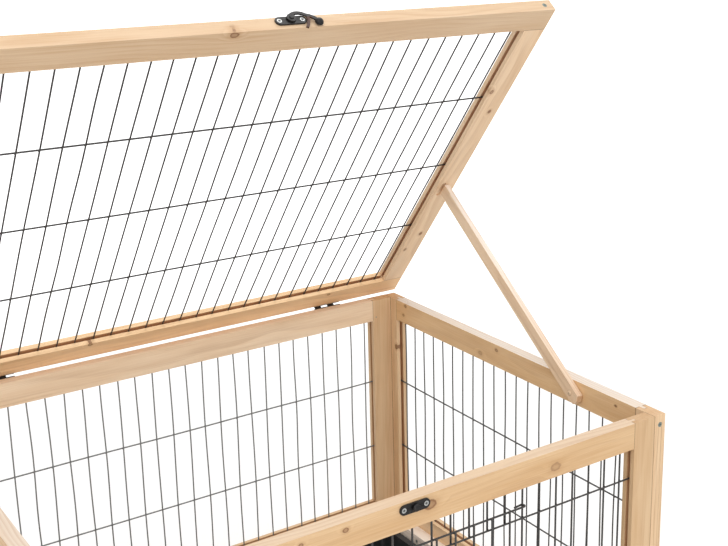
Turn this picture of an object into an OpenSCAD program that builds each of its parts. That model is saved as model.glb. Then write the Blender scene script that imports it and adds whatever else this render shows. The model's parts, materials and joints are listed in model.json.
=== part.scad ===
// A run for guinea pigs: four grooved timber frames with welded wire mesh, a mesh lid on two
// butt hinges held up by a prop strut, a small wire door in the front and a lift-out tray.
// Millimetres. X runs along the length, Y from front to back, Z up.
// The origin is on the floor, in the middle of the run's plan.

/* [Run] */
// Outside length of the run, left to right
run_l = 738; // [600:1:1200]
// Outside depth of the run, front to back
run_d = 596; // [460:1:900]
// Height of the run's frames above the floor
run_h = 420; // [400:1:600]

/* [Timber] */
// Width of the broad face of a stile or a top rail
timber_w = 33; // [30:0.5:42]
// Thickness of every frame timber
timber_t = 17.5; // [16:0.5:22]
// Height of the bottom rails
base_h = 72.5; // [64:0.5:95]
// Depth of the groove in each frame's inner edges
groove_d = 8; // [6:0.5:10]
// Distance of a frame screw from the outer edge of the timber that it enters
screw_inset = 12.5; // [9:0.5:16]
// Distance of the pinning nail from the inner edge of its stile
nail_in = 5.5; // [3:0.5:6]
// Distance of the pinning nail below the top of the run
nail_drop = 27.6; // [22:0.1:29]

/* [Lid] */
// Overhang of the lid past each side
lid_side_over = 5; // [0:0.5:10]
// Overhang of the lid past the front
lid_front_over = 4; // [0:0.5:10]
// Gap between the closed lid and the top of the run
lid_gap = 2; // [1:0.1:4]
// Angle at which the prop strut holds the lid open
lid_open = 50.6; // [40:0.1:56]

/* [Mesh] */
// Spacing of the upright wires
pitch = 25; // [20:0.5:30]
// Height of the doorway above the bottom rails
door_rise = 50.2; // [30:0.1:70]
// Spacing of the cross wires in the lid
lid_row_gap = 136.9; // [110:0.1:160]
// Distance of the front's first cross wire below the top of the run
front_row_drop = 74.5; // [60:0.1:95]
// Distance of the back's first cross wire below the top of the run
back_row_drop = 137.5; // [120:0.1:150]
// Distance of the side walls' first cross wire below the top of the run
side_row_drop = 139.1; // [120:0.1:150]
// Distance of the lid's first cross wire from the lid's back edge
lid_row_inset = 162.7; // [120:0.1:180]
// Offset of the front's middle wire from the middle of the run
front_shift = 4.4; // [-8:0.1:8]
// Offset of the lid's middle wire from the middle of the run
lid_shift = 2.3; // [-8:0.1:8]
// Offset of the back's middle wire from the middle of the run
back_shift = 5.6; // [-8:0.1:8]
// Offset of the side walls' middle wire from the middle of the run
side_shift = 0.5; // [-8:0.1:8]
// Diameter of the upright wires in the back, the sides and the lid
upright_d = 2; // [1.6:0.1:2.4]
// Diameter of the upright wires in the front
front_upright_d = 2.4; // [1.8:0.1:3]
// Diameter of the cross wires
cross_d = 2.2; // [1.6:0.1:3]

/* [Wire door] */
// Width of the doorway in spaces between upright wires
door_spaces = 12; // [8:2:14]
// Diameter of the door's wires
door_wire_d = 2.4; // [1.8:0.1:3]
// Distance of the door's first upright wire from its hinge wire
door_first = 22; // [14:0.5:24]
// Reach of the door above and below the doorway
door_over = 14; // [8:0.1:18]
// Reach of the door's cross wires past the doorway's closing edge
door_catch = 10; // [5:0.5:18]
// Length of the hairpin behind the hinge wire
hairpin_l = 10; // [6:0.5:14]
// Free space between the hinge wire and the hairpin round it
hairpin_play = 0.4; // [0.3:0.05:0.8]

/* [Hinges] */
// Distance of each hinge's middle from the end of the run
hinge_in = 120; // [100:1:200]
// Length of a hinge along its pin
hinge_l = 44; // [32:1:60]
// Thickness of a hinge leaf
leaf_t = 1.2; // [0.8:0.1:1.6]
// Height of the leaf plate on the back rail
rail_leaf_h = 20; // [14:0.5:22]
// Height of the leaf plate on the lid
lid_leaf_h = 14; // [11:0.5:15]
// Radius of the hinge pin
pin_r = 1.5; // [1.1:0.1:1.7]
// Outer radius of a hinge knuckle
knuckle_r = 3; // [2.6:0.1:3.2]
// Distance of the pin's axis behind the back of the run
pin_off = 3.4; // [3.4:0.1:5]
// Distance of the pin's axis below the top of the run
pin_drop = 3.2; // [2:0.1:6]
// Distance between the two screws of a leaf
leaf_screw_gap = 24; // [16:1:28]

/* [Prop strut] */
// Width of the strut
strut_w = 17.5; // [14:0.5:24]
// Thickness of the strut
strut_t = 9; // [6:0.5:10]
// Distance of the strut's pivot behind the front of the run
strut_pivot_in = 142.6; // [120:0.1:170]
// Distance of the strut's pivot below the top of the run
strut_pivot_drop = 15; // [14:0.1:19]
// Length of the strut beyond its pivot
strut_tail = 16; // [12:0.5:20]
// Distance from the lid's back edge at which the strut meets the lid's stile
strut_rest = 255.2; // [250:0.1:272]
// Tilt of the pivot screw, which leans the raised strut outwards
strut_lean = 2.9; // [0:0.1:3]
// Length over which the strut's lower corner is clipped
strut_clip = 10; // [6:0.5:11]
// Length of the thinned end with which the strut meets the lid
tongue_l = 18; // [12:0.5:24]
// Depth by which the inner face of that end is cut back
tongue_in = 1; // [0.4:0.1:2]
// Radius of the pivot screw's shank
pivot_r = 2; // [1.5:0.1:2.5]
// Length of the rest pocket in the lid's stile
pocket_l = 28; // [24:1:40]
// Width of the rest pocket in the lid's stile
pocket_w = 7.5; // [5:0.5:8]
// Reach of the rest pocket past the strut's inner face
pocket_over = 3.5; // [2:0.1:4]
// Reach of the rest pocket past the strut's upper edge
pocket_up = 4; // [1:0.5:6]
// Depth of the rest pocket in the lid's stile
pocket_d = 2; // [1:0.5:4]

/* [Latch] */
// Offset of the latch on the lid from the middle of the run
latch_x = 3.8; // [-20:0.1:20]
// Offset of the keeper on the front rail from the middle of the run
keeper_x = 1.2; // [-20:0.1:20]
// Length of the latch's and the keeper's plate
plate_l = 38; // [34:0.5:46]
// Height of the latch's and the keeper's plate
plate_h = 11.5; // [10.5:0.5:12]
// Thickness of the latch's and the keeper's plate
plate_t = 2; // [1:0.1:2.6]
// Distance between the two screws of a plate
plate_screw_gap = 28; // [24:0.5:29]
// Distance of the latch plate below the top of the lid
latch_edge = 1.1; // [0.5:0.1:2]
// Distance of the keeper plate below the top of the run
keeper_edge = 3; // [2:0.5:9]
// Thickness of the hook
hook_t = 1.8; // [1.2:0.1:2.4]
// Radius of the boss round the hook's pivot
hook_boss_r = 5.5; // [5.3:0.1:6]
// Middle radius of the hook's arch over the right screw
arch_r = 14; // [13.7:0.1:14.2]
// Width of the hook's arch
arch_w = 4.1; // [3.6:0.1:4.6]
// Middle radius of the hook's claw
claw_r = 40; // [39.5:0.1:40.5]
// Width of the hook's claw
claw_w = 3.2; // [2.6:0.1:3.6]
// Middle radius of the hook's finger piece
finger_r = 18.8; // [18.3:0.1:19.2]
// Width of the hook's finger piece
finger_w = 4.2; // [3.6:0.1:4.8]
// Radius of the knob at the hook's end
knob_r = 5; // [4:0.1:6]
// Radius of the hook's rivet
rivet_r = 1.5; // [1.2:0.1:2]
// Radius of the keeper stud's neck
stud_r = 2.2; // [1.6:0.1:3]
// Radius of the keeper stud's head
stud_head_r = 4.4; // [3.4:0.1:5]

/* [Tray and battens] */
// Width of the batten along each side
batten_w = 19; // [12:0.5:25]
// Height of the batten
batten_h = 20; // [15:0.5:30]
// Distance of the batten's top below the top of the bottom rail
batten_drop = 23.5; // [15:0.5:30]
// Distance of the tray's rim below the batten's top
tray_drop = 12; // [2:0.5:20]
// Free space between the tray and what stands round it
tray_play = 4.5; // [2:0.5:10]
// Thickness of the tray's walls and floor
tray_wall = 2; // [1.5:0.1:3]
// Width of the tray's rim
tray_lip = 8; // [5:0.5:12]
// Outer corner radius of the tray's rim
tray_r = 15; // [14:0.5:30]

/* [Screws] */
// Radius of a frame screw's head
frame_head_r = 3.2; // [2.8:0.1:3.8]
// Radius of a frame screw's shank
frame_shank_r = 1.9; // [1.5:0.1:2.2]
// Length of a frame screw
frame_screw_l = 55; // [48:1:65]
// Length of a corner screw
corner_screw_l = 36; // [30:1:42]
// Distance of the upper corner screws below the top of the run
corner_screw_drop = 60; // [45:1:90]
// Height of the lower corner screws above the floor
corner_screw_rise = 100; // [80:1:120]
// Radius of a small screw's head
small_head_r = 2.8; // [2.2:0.1:3]
// Radius of a small screw's shank
small_shank_r = 1.2; // [1:0.1:1.4]
// Length of a small screw
small_screw_l = 12; // [9:0.5:14]
// Length of a batten screw
batten_screw_l = 30; // [26:0.5:33]
// Distance of a batten screw from the batten's end
batten_screw_in = 90.5; // [40:0.5:150]
// Radius of a nail
nail_r = 0.9; // [0.7:0.1:1.2]
// Length of a nail
nail_l = 13; // [8:0.5:14]

/* [Hidden] */
// Fits and clearances
SEAT = 0.05;        // round a shank in its hole, and round a pin in its knuckle
FACE = 0.3;         // between faces that slide past each other
MESH_PLAY = 0.3;    // on each side of the front's mesh in its groove
MESH_END = 0.4;     // between a wire's end and the bottom of its groove
TENON_PLAY = 0.3;   // on each cheek of a tenon
TENON_END = 0.4;    // between a tenon's end and the bottom of its groove
WELD = 0.2;         // depth to which crossing wires are welded into each other
KNUCKLE_GAP = 0.2;  // between neighbouring knuckles along the pin
THROUGH = 1;        // run of a cut past the face that it opens
RECESS_L = 0.5;     // cross recess across a screw's head, as a share of the head
RECESS_W = 0.9;     // width of the cross recess
RECESS_D = 0.8;     // depth of the cross recess
$fn = 48;

// Frames
half_l = run_l / 2;
half_d = run_d / 2;
front_w = run_l - 2 * timber_t;
groove_w = front_upright_d + cross_d - WELD + 2 * MESH_PLAY;
mesh_in = groove_d - MESH_END;
wall_screw_z = [(base_h - groove_d) / 2, run_h - screw_inset];
wall_z0 = base_h - mesh_in;
wall_z1 = run_h - timber_w + mesh_in;

// Lid, as it lies closed
lid_l = run_l + 2 * lid_side_over;
lid_d = run_d + lid_front_over;
lid_under = run_h + lid_gap;
lid_mid_z = lid_under + timber_t / 2;
lid_front_y = half_d - lid_d;
lid_mid_y = half_d - lid_d / 2;
pin_y = half_d + pin_off;
pin_z = run_h - pin_drop;
lid_screw_z = [screw_inset, lid_l - screw_inset];

// Strut: it meets the lid's underside strut_off degrees from square when it holds the lid open
strut_y = strut_pivot_in - half_d;
strut_z = run_h - strut_pivot_drop;
strut_outer_x = half_l - timber_t - FACE - strut_pivot_drop * tan(strut_lean);
rest_y = -(strut_rest + pin_off);
rest_z = lid_under - pin_z;
strut_run = pin_y + rest_y * cos(lid_open) + rest_z * sin(lid_open) - strut_y;
strut_rise = (pin_z - rest_y * sin(lid_open) + rest_z * cos(lid_open) - strut_z) / cos(strut_lean);
strut_turn = atan2(strut_rise, strut_run);
strut_off = 90 - lid_open - strut_turn;
strut_gap = FACE + strut_w / 2 * sin(strut_off) + strut_t * cos(lid_open) * sin(strut_lean);
strut_reach = norm([strut_run, strut_rise]) - strut_gap / cos(strut_off);
strut_tip_x = strut_outer_x - strut_t * cos(strut_lean) + strut_rise * sin(strut_lean);
pivot_gap = 2 * FACE + strut_pivot_drop * tan(strut_lean);
pivot_head_r = 1.6 * pivot_r;
pivot_top_r = 0.7 * pivot_head_r;
pivot_head_t = 1.8;
pivot_screw_in = 13;
pivot_l = strut_t + pivot_gap + pivot_screw_in;

// Front mesh and doorway
front_mid_y = timber_t / 2 - half_d;
door_z1 = run_h - front_row_drop;
door_z0 = base_h + door_rise;
row_gap = (door_z1 - door_z0) / 2;
door_hinge_x = front_shift + pitch * door_spaces / 2;
door_edge_x = front_shift - pitch * door_spaces / 2;
door_hinge_y = front_mid_y + upright_off(front_upright_d);
door_loop_r = front_upright_d / 2 + hairpin_play + door_wire_d / 2;
door_l = door_hinge_x - door_edge_x;
door_h = door_z1 - door_z0 + 2 * door_over;

// Hinges
hinge_x = half_l - hinge_in;
knuckle_l = hinge_l / 4;
plate_start = knuckle_r + FACE + 2 * SEAT;
rail_leaf_mid_z = pin_z - plate_start - rail_leaf_h / 2;
lid_leaf_z = max(pin_z + plate_start, lid_under);
lid_leaf_mid_z = lid_leaf_z + lid_leaf_h / 2;

// Latch
latch_z = lid_under + timber_t - latch_edge - plate_h / 2;
keeper_z = run_h - keeper_edge - plate_h / 2;
hook_z = plate_t + FACE;
stud_neck_h = FACE + hook_t + FACE;
stud_head_h = 1.4;
stud_top_r = 0.8 * stud_head_r;
rivet_head_h = 1;
rivet_head_r = 1.8 * rivet_r;
rivet_top_r = 1.3 * rivet_r;
// Middles of the hook's curved bands and of its knob, and the angles that the bands span
arch_c = [8.7, -7.3];
arch_span = [45, 150];
claw_c = [-18.7, 8.7];
claw_span = [-38, -10];
finger_c = [14.3, -15.7];
finger_span = [25, 78];
knob_c = [31.1, -8];
// Place of the hook's rivet on its plate
hook_at = [0.9, 1.9];

// Tray and battens
inner_x = half_l - timber_t;
inner_y = half_d - timber_t;
batten_z = base_h - batten_drop;
tray_h = batten_z - tray_drop;
tray_l = 2 * (inner_x - batten_w - tray_play);
tray_w = 2 * (inner_y - tray_play);
lip_drop = 6;

// Wires are placed at a whole number of pitches from a shift, inside half a frame's opening
function first_wire(half, shift) = ceil((upright_d + front_upright_d - half - shift) / pitch);
function last_wire(half, shift) = floor((half - upright_d - front_upright_d - shift) / pitch);
// The mesh is centred in its groove: uprights towards the inside, cross wires outside
function stack(d) = d + cross_d - WELD;
function upright_off(d) = (stack(d) - d) / 2;
function cross_off(d) = -(stack(d) - cross_d) / 2;

// SCREWS AND NAILS
// Each has its head's top at the origin and points down

module screw(l, head, shank) {
    cone = head - shank;
    difference() {
        union() {
            translate([0, 0, -cone]) cylinder(h = cone, r1 = shank, r2 = head);
            translate([0, 0, -l + 2 * shank]) cylinder(h = l - 2 * shank - cone / 2, r = shank);
            translate([0, 0, -l]) cylinder(h = 2 * shank, r1 = shank / 4, r2 = shank);
        }
        for (turn = [0, 90])
            rotate([0, 0, turn])
                translate([-head * RECESS_L, -RECESS_W / 2, -RECESS_D])
                    cube([2 * head * RECESS_L, RECESS_W, RECESS_D + THROUGH]);
    }
}

module screw_hole(l, head, shank) {
    cone = head - shank;
    translate([0, 0, -cone - SEAT])
        cylinder(h = cone + SEAT, r1 = shank + SEAT, r2 = head + 2 * SEAT);
    translate([0, 0, -l - SEAT]) cylinder(h = l + SEAT, r = shank + SEAT);
    cylinder(h = THROUGH, r = head + 2 * SEAT);
}

module frame_screw() screw(frame_screw_l, frame_head_r, frame_shank_r);
module frame_hole() screw_hole(frame_screw_l, frame_head_r, frame_shank_r);
module corner_screw() screw(corner_screw_l, frame_head_r, frame_shank_r);
module corner_hole() screw_hole(corner_screw_l, frame_head_r, frame_shank_r);
module small_screw() screw(small_screw_l, small_head_r, small_shank_r);
module small_hole() screw_hole(small_screw_l, small_head_r, small_shank_r);
module batten_screw() screw(batten_screw_l, small_head_r, small_shank_r);
module batten_hole() screw_hole(batten_screw_l, small_head_r, small_shank_r);
module nail() translate([0, 0, -nail_l]) cylinder(h = nail_l, r = nail_r);
module nail_hole()
    translate([0, 0, -nail_l - SEAT]) cylinder(h = nail_l + THROUGH, r = nail_r + SEAT);

// FRAMES
// A frame stands in the XZ plane with its thickness centred on Y and its outside at -Y.
// Its stiles are as tall as the frame, and its rails lie between them on stub tenons.

module edge_screws(w, heights)
    for (side = [-1, 1])
        for (z = heights)
            translate([side * w / 2, 0, z]) rotate([0, side * 90, 0]) children();

module stile(side, w, h, screw_z) {
    mid_x = side * (w - timber_w) / 2;
    groove_x = side * (w / 2 - timber_w + groove_d / 2 - THROUGH / 2);
    difference() {
        translate([mid_x, 0, h / 2]) cube([timber_w, timber_t, h], center = true);
        translate([groove_x, 0, h / 2])
            cube([groove_d + THROUGH, groove_w, h + 2 * THROUGH], center = true);
        edge_screws(w, screw_z) frame_hole();
    }
}

// z and h are the rail's lower edge and height; up tells whether its grooved edge is on top
module rail(w, z, h, up, screw_z) {
    l = w - 2 * timber_w;
    tenon_l = l + 2 * (groove_d - TENON_END);
    groove_z = up ? z + h - groove_d : z - THROUGH;
    difference() {
        union() {
            translate([-l / 2, -timber_t / 2, z]) cube([l, timber_t, h]);
            translate([-tenon_l / 2, TENON_PLAY - groove_w / 2, z])
                cube([tenon_l, groove_w - 2 * TENON_PLAY, h]);
        }
        translate([-l / 2, -groove_w / 2, groove_z]) cube([l, groove_w, groove_d + THROUGH]);
        edge_screws(w, screw_z) frame_hole();
    }
}

module front_place() translate([0, front_mid_y, 0]) children();
module back_place() translate([0, -front_mid_y, 0]) rotate([0, 0, 180]) children();
module right_place() translate([half_l - timber_t / 2, 0, 0]) rotate([0, 0, 90]) children();
module left_place() translate([timber_t / 2 - half_l, 0, 0]) rotate([0, 0, -90]) children();
// The lid's frame lies down, its full-length timbers along X
module lid_place() lid_pose() translate([-lid_l / 2, lid_mid_y, lid_mid_z])
    rotate([90, 0, 90]) mirror([0, 1, 0]) children();
module lid_pose()
    translate([0, pin_y, pin_z]) rotate([-lid_open, 0, 0]) translate([0, -pin_y, -pin_z]) children();

module wall_stile(side, w) stile(side, w, run_h, wall_screw_z);
module wall_top_rail(w) rail(w, run_h - timber_w, timber_w, false, wall_screw_z);
module wall_bottom_rail(w) rail(w, 0, base_h, true, wall_screw_z);

// Screws through the side walls' outer faces into the front's and the back's stiles
module corner_places(side)
    for (y = [front_mid_y, -front_mid_y])
        for (z = [corner_screw_rise, run_h - corner_screw_drop])
            translate([side * half_l, y, z]) rotate([0, side * 90, 0]) children();

module keeper_places()
    for (dx = [-1, 1])
        translate([keeper_x + dx * plate_screw_gap / 2, -half_d - plate_t, keeper_z])
            rotate([90, 0, 0]) children();

module hinge_rail_places()
    for (side = [-1, 1])
        for (dx = [-1, 1])
            translate([side * hinge_x + dx * leaf_screw_gap / 2, half_d + leaf_t, rail_leaf_mid_z])
                rotate([-90, 0, 0]) children();

module batten_places(side)
    for (y = [batten_screw_in - inner_y, inner_y - batten_screw_in])
        translate([side * (inner_x - batten_w), y, batten_z - batten_h / 2])
            rotate([0, -side * 90, 0]) children();

module back_nail_places()
    for (side = [-1, 1])
        translate([side * (front_w / 2 - timber_w + nail_in), inner_y, run_h - nail_drop])
            rotate([90, 0, 0]) children();

// Tilts the strut and its screw about the point where the screw enters the strut's outer face
module lean() translate([strut_outer_x, strut_y, strut_z]) rotate([0, strut_lean, 0]) children();
module pivot_place() lean() translate([-strut_t - FACE, 0, 0]) rotate([0, -90, 0]) children();

module front_top_rail() color("burlywood") difference() {
    front_place() wall_top_rail(front_w);
    keeper_places() small_hole();
}
module front_bottom_rail() color("burlywood") front_place() wall_bottom_rail(front_w);
module front_stile(side) color("burlywood") difference() {
    front_place() wall_stile(side, front_w);
    corner_places(side) corner_hole();
}
module back_top_rail() color("burlywood") difference() {
    back_place() wall_top_rail(front_w);
    hinge_rail_places() small_hole();
    back_nail_places() nail_hole();
}
module back_bottom_rail() color("burlywood") back_place() wall_bottom_rail(front_w);
module back_stile(side) color("burlywood") difference() {
    back_place() wall_stile(-side, front_w);
    corner_places(side) corner_hole();
    back_nail_places() nail_hole();
}
module left_top_rail() color("burlywood") left_place() wall_top_rail(run_d);
module left_bottom_rail() color("burlywood") difference() {
    left_place() wall_bottom_rail(run_d);
    batten_places(-1) batten_hole();
}
module left_stile(side) color("burlywood") difference() {
    left_place() wall_stile(-side, run_d);
    corner_places(-1) corner_hole();
}
module right_top_rail() color("burlywood") difference() {
    right_place() wall_top_rail(run_d);
    pivot_place() pivot_hole();
}
module right_bottom_rail() color("burlywood") difference() {
    right_place() wall_bottom_rail(run_d);
    batten_places(1) batten_hole();
}
module right_stile(side) color("burlywood") difference() {
    right_place() wall_stile(side, run_d);
    corner_places(1) corner_hole();
}

// LID

module lid_long_rail(side) lid_place() stile(side, lid_d, lid_l, lid_screw_z);
module lid_stile(right)
    lid_place() rail(lid_d, right ? lid_l - timber_w : 0, timber_w, !right, lid_screw_z);

module latch_places()
    lid_pose() for (dx = [-1, 1])
        translate([latch_x + dx * plate_screw_gap / 2, lid_front_y - plate_t, latch_z])
            rotate([90, 0, 0]) children();

module hinge_lid_places()
    lid_pose() for (side = [-1, 1])
        for (dx = [-1, 1])
            translate([side * hinge_x + dx * leaf_screw_gap / 2, half_d + leaf_t, lid_leaf_mid_z])
                rotate([-90, 0, 0]) children();

module lid_front_rail() color("burlywood") difference() {
    lid_long_rail(-1);
    latch_places() small_hole();
}
module lid_back_rail() color("burlywood") difference() {
    lid_long_rail(1);
    hinge_lid_places() small_hole();
}
module lid_left_stile() color("burlywood") lid_stile(false);
// The rest pocket is a shallow slot, narrower than the strut, where the strut meets the stile
module lid_right_stile() color("burlywood") difference() {
    lid_stile(true);
    lid_pose() translate([strut_tip_x - pocket_over + pocket_w / 2,
        half_d - strut_rest - strut_w / 2 - pocket_up + pocket_l / 2, lid_under - THROUGH])
            rotate([0, 0, 90]) oblong(pocket_l, pocket_w, pocket_d + THROUGH);
}

// MESH

// A wire along Z, or along X, from a to b
module wire_z(x, y, a, b, d) translate([x, y, a]) cylinder(h = b - a, d = d);
module wire_x(y, z, a, b, d) translate([a, y, z]) rotate([0, 90, 0]) cylinder(h = b - a, d = d);

module wall_mesh(w, shift, drop) {
    half = w / 2 - timber_w;
    for (k = [first_wire(half, shift) : last_wire(half, shift)])
        wire_z(shift + k * pitch, upright_off(upright_d), wall_z0, wall_z1, upright_d);
    for (z = [run_h - drop : -row_gap : base_h + cross_d])
        wire_x(cross_off(upright_d), z, -half - mesh_in, half + mesh_in, cross_d);
}

// The front's wires stop at the doorway
module front_mesh() color("dimgray") front_place() {
    half = front_w / 2 - timber_w;
    y = upright_off(front_upright_d);
    for (k = [first_wire(half, front_shift) : last_wire(half, front_shift)]) {
        x = front_shift + k * pitch;
        if (abs(k) < door_spaces / 2) {
            wire_z(x, y, wall_z0, door_z0 + cross_d / 2, front_upright_d);
            wire_z(x, y, door_z1 - cross_d / 2, wall_z1, front_upright_d);
        } else {
            wire_z(x, y, wall_z0, wall_z1, front_upright_d);
        }
    }
    row_y = cross_off(front_upright_d);
    for (z = [door_z0, door_z1])
        wire_x(row_y, z, -half - mesh_in, half + mesh_in, cross_d);
    wire_x(row_y, door_z0 + row_gap, -half - mesh_in, door_edge_x + front_upright_d / 2, cross_d);
    wire_x(row_y, door_z0 + row_gap, door_hinge_x - front_upright_d / 2, half + mesh_in, cross_d);
}
module back_mesh() color("dimgray") back_place()
    wall_mesh(front_w, -back_shift, back_row_drop);
module left_mesh() color("dimgray") left_place()
    wall_mesh(run_d, -side_shift, side_row_drop);
module right_mesh() color("dimgray") right_place()
    wall_mesh(run_d, side_shift, side_row_drop);

module lid_mesh() color("dimgray") lid_place() {
    half = lid_d / 2 - timber_w;
    mid = lid_l / 2;
    side_half = mid - timber_w;
    for (k = [first_wire(side_half, lid_shift) : last_wire(side_half, lid_shift)])
        wire_x(upright_off(upright_d), mid + lid_shift + k * pitch,
            -half - mesh_in, half + mesh_in, upright_d);
    for (s = [lid_row_inset : lid_row_gap : lid_d - timber_w - cross_d])
        wire_z(lid_d / 2 - s, cross_off(upright_d), timber_w - mesh_in,
            lid_l - timber_w + mesh_in, cross_d);
}

// WIRE DOOR
// Its frame of reference is the hinge wire of the front mesh

module door_place(z) translate([door_hinge_x, door_hinge_y, z]) children();
// The uprights touch the top and bottom wires and are welded to the two wires between those
module wire_door() color("dimgray") door_place(door_z0 - door_over) {
    for (z = [door_h / 3, 2 * door_h / 3])
        wire_x(-door_loop_r - WELD, z, -door_l - door_catch, door_wire_d - door_first,
            door_wire_d);
    for (x = [-door_first : -pitch : door_wire_d / 2 - door_l])
        wire_z(x, -door_loop_r - door_wire_d, -door_wire_d / 2, door_h + door_wire_d / 2,
            door_wire_d);
}
// The top or bottom wire, which ends in a hairpin round the hinge wire
module door_hinge_wire(z) color("dimgray") door_place(z) {
    wire_x(-door_loop_r, 0, -door_l - door_catch, 0, door_wire_d);
    rotate([0, 0, -90]) rotate_extrude(angle = 180)
        translate([door_loop_r, 0]) circle(d = door_wire_d);
    wire_x(door_loop_r, 0, -hairpin_l, 0, door_wire_d);
}

// HINGES

// One knuckle, its end at the origin, round the X axis
module knuckle() rotate([0, 90, 0]) translate([0, 0, KNUCKLE_GAP / 2])
    cylinder(h = knuckle_l - KNUCKLE_GAP, r = knuckle_r);
module pin_bore() translate([-THROUGH, 0, 0]) rotate([0, 90, 0])
    cylinder(h = hinge_l + 2 * THROUGH, r = pin_r + SEAT);

// A leaf above the pin: its plate starts at gap over the axis, and its knuckles at first
module leaf(first, gap, h) {
    difference() {
        union() {
            translate([0, -pin_off, gap]) cube([hinge_l, leaf_t, h]);
            for (k = [first, first + 2])
                translate([k * knuckle_l, 0, 0]) {
                    knuckle();
                    translate([KNUCKLE_GAP / 2, -pin_off, 0]) {
                        cube([knuckle_l - KNUCKLE_GAP, leaf_t, gap + leaf_t]);
                        cube([knuckle_l - KNUCKLE_GAP, pin_off, leaf_t]);
                    }
                }
        }
        pin_bore();
    }
}
module hinge_place(side) translate([side * hinge_x - hinge_l / 2, pin_y, pin_z]) children();

module hinge_rail_leaf(side) color([0.16, 0.16, 0.15]) difference() {
    hinge_place(side) mirror([0, 0, 1]) leaf(1, plate_start, rail_leaf_h);
    hinge_rail_places() small_hole();
}
module hinge_lid_leaf(side) color([0.16, 0.16, 0.15]) difference() {
    lid_pose() hinge_place(side) leaf(0, lid_leaf_z - pin_z, lid_leaf_h);
    hinge_lid_places() small_hole();
}
module hinge_pin(side) color([0.2, 0.2, 0.19]) hinge_place(side) rotate([0, 90, 0])
    cylinder(h = hinge_l, r = pin_r);

// PROP STRUT

// X runs along the strut from its pivot to the lid, Y across it, Z from its inner face outwards
module strut_place() lean() translate([-strut_t, 0, 0]) rotate([strut_turn, 0, 0])
    rotate([90, 0, 90]) children();
module prop_strut() color("burlywood") difference() {
    strut_place() linear_extrude(strut_t) polygon([
        [strut_clip - strut_tail, -strut_w / 2], [strut_reach, -strut_w / 2],
        [strut_reach, strut_w / 2], [0.4 * strut_clip - strut_tail, strut_w / 2],
        [-strut_tail, 0], [strut_clip / 4 - strut_tail, -0.36 * strut_w]]);
    strut_place() translate([strut_reach - tongue_l, -strut_w / 2 - THROUGH, -THROUGH])
        cube([tongue_l + THROUGH, strut_w + 2 * THROUGH, tongue_in + THROUGH]);
    pivot_place() pivot_hole();
}
module prop_screw() color("gainsboro") pivot_place() difference() {
    union() {
        translate([0, 0, -pivot_l]) cylinder(h = pivot_l + pivot_head_t / 2, r = pivot_r);
        cylinder(h = pivot_head_t, r1 = pivot_head_r, r2 = pivot_top_r);
    }
    for (turn = [0, 90])
        rotate([0, 0, turn])
            translate([-pivot_head_r * RECESS_L / 2, -RECESS_W / 2, pivot_head_t - RECESS_D])
                cube([pivot_head_r * RECESS_L, RECESS_W, RECESS_D + THROUGH]);
}
module pivot_hole() translate([0, 0, -pivot_l - SEAT])
    cylinder(h = pivot_l + THROUGH, r = pivot_r + SEAT);

// LATCH AND KEEPER

// A flat block with half-round ends
module oblong(l, w, h) linear_extrude(h) {
    square([l - w, w], center = true);
    for (dx = [-1, 1])
        translate([dx * (l - w) / 2, 0]) circle(d = w);
}
// A flat curved band of the hook
module band(c, r, w, span) translate([c.x, c.y, 0]) rotate([0, 0, span[0]])
    rotate_extrude(angle = span[1] - span[0]) translate([r - w / 2, 0]) square([w, hook_t]);
// Places a flat piece on the lid's front edge, its back on the timber
module latch_face() lid_pose() translate([latch_x, lid_front_y, latch_z]) rotate([90, 0, 0]) children();
module hook_face() latch_face() translate([hook_at.x, hook_at.y, 0]) children();
module keeper_face() translate([keeper_x, -half_d, keeper_z]) rotate([90, 0, 0]) children();

module latch_plate() color([0.16, 0.16, 0.15]) difference() {
    latch_face() oblong(plate_l, plate_h, plate_t);
    latch_places() small_hole();
}
module latch_rivet() color([0.3, 0.3, 0.28]) hook_face() {
    translate([0, 0, plate_t]) cylinder(h = 2 * FACE + hook_t + rivet_head_h / 2, r = rivet_r);
    translate([0, 0, hook_z + hook_t + FACE])
        cylinder(h = rivet_head_h, r1 = rivet_head_r, r2 = rivet_top_r);
}
module latch_hook() color([0.18, 0.17, 0.16]) hook_face() translate([0, 0, hook_z])
    difference() {
        union() {
            cylinder(h = hook_t, r = hook_boss_r);
            band(arch_c, arch_r, arch_w, arch_span);
            band(claw_c, claw_r, claw_w, claw_span);
            band(finger_c, finger_r, finger_w, finger_span);
            translate([knob_c.x, knob_c.y, 0]) intersection() {
                sphere(r = knob_r);
                cylinder(h = knob_r, r = knob_r);
            }
        }
        translate([0, 0, -THROUGH]) cylinder(h = hook_t + 2 * THROUGH, r = rivet_r + SEAT);
    }
module keeper_plate() color([0.16, 0.16, 0.15]) difference() {
    keeper_face() oblong(plate_l, plate_h, plate_t);
    keeper_places() small_hole();
}
module keeper_stud() color([0.2, 0.2, 0.19]) keeper_face() {
    translate([0, 0, plate_t]) cylinder(h = stud_neck_h + stud_head_h / 2, r = stud_r);
    translate([0, 0, plate_t + stud_neck_h])
        cylinder(h = stud_head_h, r1 = stud_head_r, r2 = stud_top_r);
}

// TRAY AND BATTENS

module batten(side) color("wheat") difference() {
    translate([side > 0 ? inner_x - batten_w : -inner_x, -inner_y, batten_z - batten_h])
        cube([batten_w, 2 * inner_y, batten_h]);
    batten_places(side) batten_hole();
}

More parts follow.
